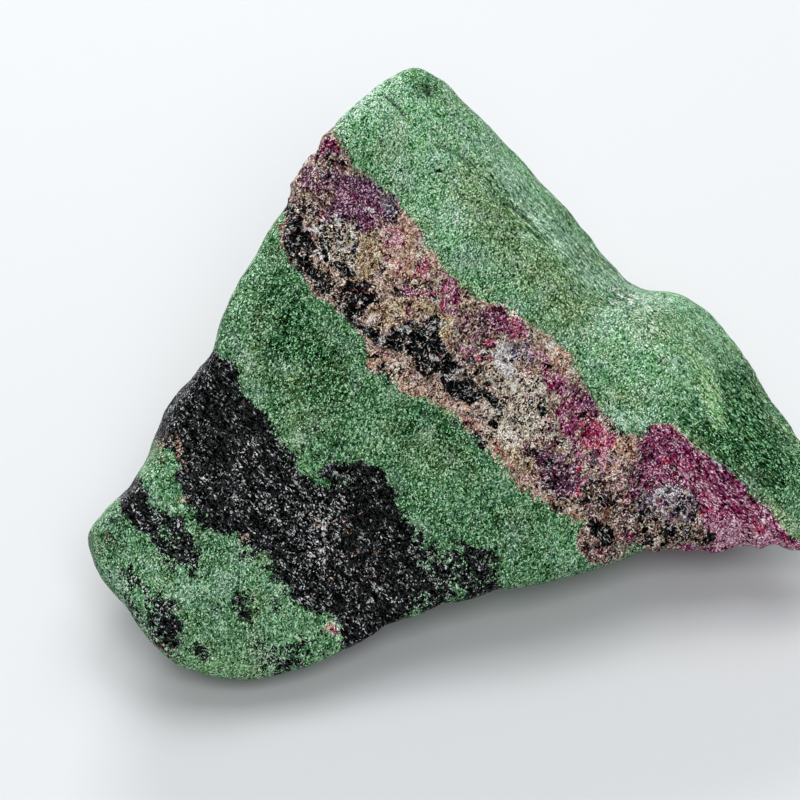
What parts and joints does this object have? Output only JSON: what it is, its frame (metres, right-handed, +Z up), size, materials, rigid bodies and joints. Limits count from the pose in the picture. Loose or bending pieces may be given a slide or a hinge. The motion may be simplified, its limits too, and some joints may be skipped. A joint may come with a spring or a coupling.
{
  "type": "ruby in zoisite rock",
  "caption": "Loose piece of weathered green zoisite rock with a band of ruby and patches of black hornblende, resting on a flat of its underside.",
  "frame": {"origin": "on the surface the stone rests on, under the middle of its bounding box", "axes": "+Z up from the surface, +X along the stone's longest side towards its thin end, +Y towards its steep back; the broad face leans back and looks up towards -Y"},
  "size_m": [0.0936, 0.0671, 0.0417],
  "materials": {
    "zoisite_rock": "satin"
  },
  "bodies": {
    "root": {"ruby_in_zoisite": "zoisite_rock"}
  },
  "joints": []
}
